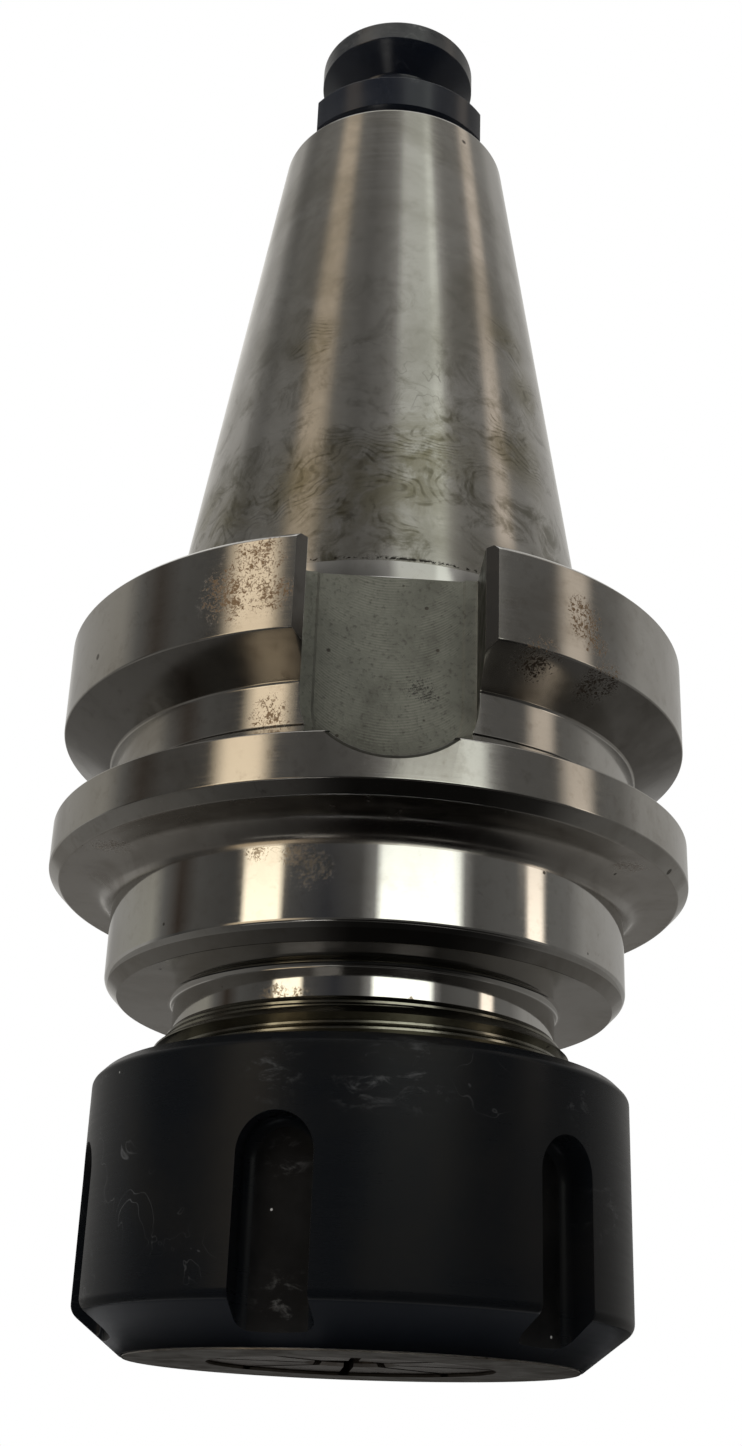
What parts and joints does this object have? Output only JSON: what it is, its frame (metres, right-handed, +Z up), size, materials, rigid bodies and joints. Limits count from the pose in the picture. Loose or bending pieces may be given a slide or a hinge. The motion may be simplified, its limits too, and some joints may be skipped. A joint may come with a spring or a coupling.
{
  "type": "collet chuck holder",
  "caption": "Taper shank collet chuck holder standing on its clamping nut, with a grooved drive flange, a slit spring collet and a retention stud, for clamping round tool shanks.",
  "frame": {"origin": "centre of the nut's face, on the surface it stands on", "axes": "+Z up the axis to the pull stud, drive key slots facing -Y and +Y"},
  "size_m": [0.063, 0.063, 0.1519],
  "materials": {
    "ground_steel": "ground and polished steel with stains and rust specks",
    "black_stud": "black oxide",
    "black_nut": "satin black oxide with scuffs",
    "bare_steel": "bare turned steel",
    "bright_steel": "ground steel"
  },
  "bodies": {
    "holder": {"holder_body": "ground_steel", "pull_stud": "black_stud"},
    "carrier": {"thrust_ring": "bare_steel", "collet": "bright_steel"},
    "nut": {"nut_shell": "black_nut", "ball_plug": "black_nut"},
    "balls": {"bearing_balls": "bright_steel"}
  },
  "joints": [
    {"name": "collet_travel", "type": "slide", "parent": "holder", "child": "carrier", "axis": [0, 0, -1], "range_m": [0, 0.012]},
    {"name": "nut_turn", "type": "hinge", "parent": "carrier", "child": "nut", "pos_m": [0, 0, 0.012], "axis": [0, 0, -1], "range_deg": [0, 2880]},
    {"name": "ball_orbit", "type": "hinge", "parent": "carrier", "child": "balls", "pos_m": [0, 0, 0.0062], "axis": [0, 0, -1], "range_deg": [0, 1440]}
  ],
  "couplings": [
    {"joint": "collet_travel", "follows": "nut_turn", "m_per_rad": 0.00023873},
    {"joint": "ball_orbit", "follows": "nut_turn", "ratio": 0.5}
  ]
}
